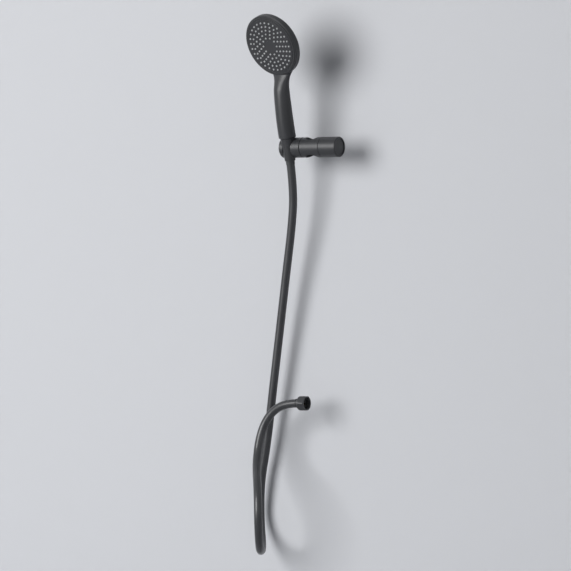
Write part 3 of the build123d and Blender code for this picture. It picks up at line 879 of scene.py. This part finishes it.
class HANDSHOWER_OT_stage(bpy.types.Operator):
    """Set up the pale backdrop, the floor, the soft lamps and the camera"""

    bl_idname = "handshower.stage"
    bl_label = "Stage"

    def execute(self, context):
        stage = context.scene.hand_shower.stage
        low, high = Vector(cad_box[0]), Vector(cad_box[1])
        middle = (low + high) / 2
        floor_z = low.z - stage.floor_drop
        left, right, front, top = -STAGE_REACH, STAGE_REACH, -STAGE_REACH, STAGE_REACH
        foot_left, foot_right = (left, stage.wall_y, floor_z), (right, stage.wall_y, floor_z)
        sheets = {
            "backdrop": [foot_left, foot_right, (right, stage.wall_y, top), (left, stage.wall_y, top)],
            "floor": [(left, front, floor_z), (right, front, floor_z), foot_right, foot_left],
        }
        paint = self.paint("backdrop_paint", stage.wall_colour)
        for name, corners in sheets.items():
            mesh = bpy.data.meshes.new(name)
            mesh.from_pydata(corners, [], [(0, 1, 2, 3)])
            mesh.materials.append(paint)
            sheet = bpy.data.objects.new(name, mesh)
            context.scene.collection.objects.link(sheet)
        self.world(stage)
        for name, (place, size, power) in LAMPS.items():
            self.lamp(name, middle + Vector(place), middle, size, power)
        self.camera(stage, middle)
        context.scene.view_settings.view_transform = "Standard"
        return {"FINISHED"}

    def paint(self, name, colour):
        """Matte paint that shows from its front only, so that it hides nothing from behind."""
        finish = Finish(name)
        grain = finish.noise(finish.place(), size=0.004)
        finish.set(
            base_color=finish.tint(colour, grain, depth=0.006),
            roughness=0.85,
            normal=finish.bump(grain, depth=0.00004),
        )
        behind = finish.node("ShaderNodeNewGeometry", {}, {}, "Backfacing")
        clear = finish.node("ShaderNodeBsdfTransparent", {}, {})
        shown = Wire(finish, finish.shader.outputs[0])
        mixed = finish.node("ShaderNodeMixShader", {}, {0: behind, 1: shown, 2: clear})
        finish.plug(finish.tree.nodes["Material Output"].inputs["Surface"], mixed)
        return finish.material

    def world(self, stage):
        """An even glow, and the colour of the wall where the camera and reflections look past the stage."""
        world = bpy.data.worlds.new("studio")
        world.use_nodes = True
        nodes = Nodes(world.node_tree)
        backdrop = nodes.node("ShaderNodeBackground", {}, {"Color": (*stage.wall_colour, 1)})
        glow = world.node_tree.nodes["Background"]
        nodes.plug(glow.inputs["Color"], (1, 1, 1, 1))
        nodes.plug(glow.inputs["Strength"], stage.glow)
        camera = nodes.node("ShaderNodeLightPath", {}, {}, "Is Camera Ray")
        glossy = nodes.node("ShaderNodeLightPath", {}, {}, "Is Glossy Ray")
        through = nodes.node("ShaderNodeLightPath", {}, {}, "Is Transmission Ray")
        mixed = nodes.node(
            "ShaderNodeMixShader",
            {},
            {0: camera + glossy + through, 1: Wire(nodes, glow.outputs[0]), 2: backdrop},
        )
        nodes.plug(world.node_tree.nodes["World Output"].inputs["Surface"], mixed)
        bpy.context.scene.world = world

    def lamp(self, name, place, target, size, power):
        """A round soft lamp that looks at the target."""
        data = bpy.data.lights.new(name, "AREA")
        data.shape = "DISK"
        data.size = size
        data.energy = power
        lamp = bpy.data.objects.new(name, data)
        lamp.location = place
        lamp.rotation_euler = (target - place).to_track_quat("-Z", "Y").to_euler()
        bpy.context.scene.collection.objects.link(lamp)

    def camera(self, stage, middle):
        """A level camera with a long lens that looks at the middle of the object."""
        data = bpy.data.cameras.new("camera")
        data.sensor_width = SENSOR_WIDTH
        data.lens = SENSOR_WIDTH * stage.distance / stage.view_height
        data.clip_end = CAMERA_REACH
        camera = bpy.data.objects.new("camera", data)
        back = Vector((math.sin(stage.azimuth), -math.cos(stage.azimuth), 0))
        camera.location = middle + back * stage.distance
        camera.rotation_euler = (-back).to_track_quat("-Z", "Y").to_euler()
        bpy.context.scene.collection.objects.link(camera)
        bpy.context.scene.camera = camera


class HANDSHOWER_PT_panel(bpy.types.Panel):
    """Lists the pieces of the hand shower"""

    bl_idname = "HANDSHOWER_PT_panel"
    bl_label = "Hand Shower"
    bl_space_type = "VIEW_3D"
    bl_region_type = "UI"
    bl_category = "Hand Shower"

    def draw(self, context):
        for operator in OPERATORS:
            self.layout.operator(operator.bl_idname)


SETTINGS = [HandsetSizes, HoseSizes, FinishColours, StageSettings, HandShowerSettings]
OPERATORS = [
    HANDSHOWER_OT_stage,
    HANDSHOWER_OT_slider,
    HANDSHOWER_OT_handset,
    HANDSHOWER_OT_nozzles,
    HANDSHOWER_OT_fittings,
    HANDSHOWER_OT_hose,
]


def register():
    for made in [*SETTINGS, *OPERATORS, HANDSHOWER_PT_panel]:
        bpy.utils.register_class(made)
    bpy.types.Scene.hand_shower = bpy.props.PointerProperty(type=HandShowerSettings)


def unregister():
    del bpy.types.Scene.hand_shower
    for made in reversed([*SETTINGS, *OPERATORS, HANDSHOWER_PT_panel]):
        bpy.utils.unregister_class(made)


def main():
    register()
    bpy.ops.handshower.stage()
    bpy.ops.handshower.slider()
    bpy.ops.handshower.handset()
    bpy.ops.handshower.nozzles()
    bpy.ops.handshower.fittings()
    bpy.ops.handshower.hose()


if __name__ == "__main__":
    main()
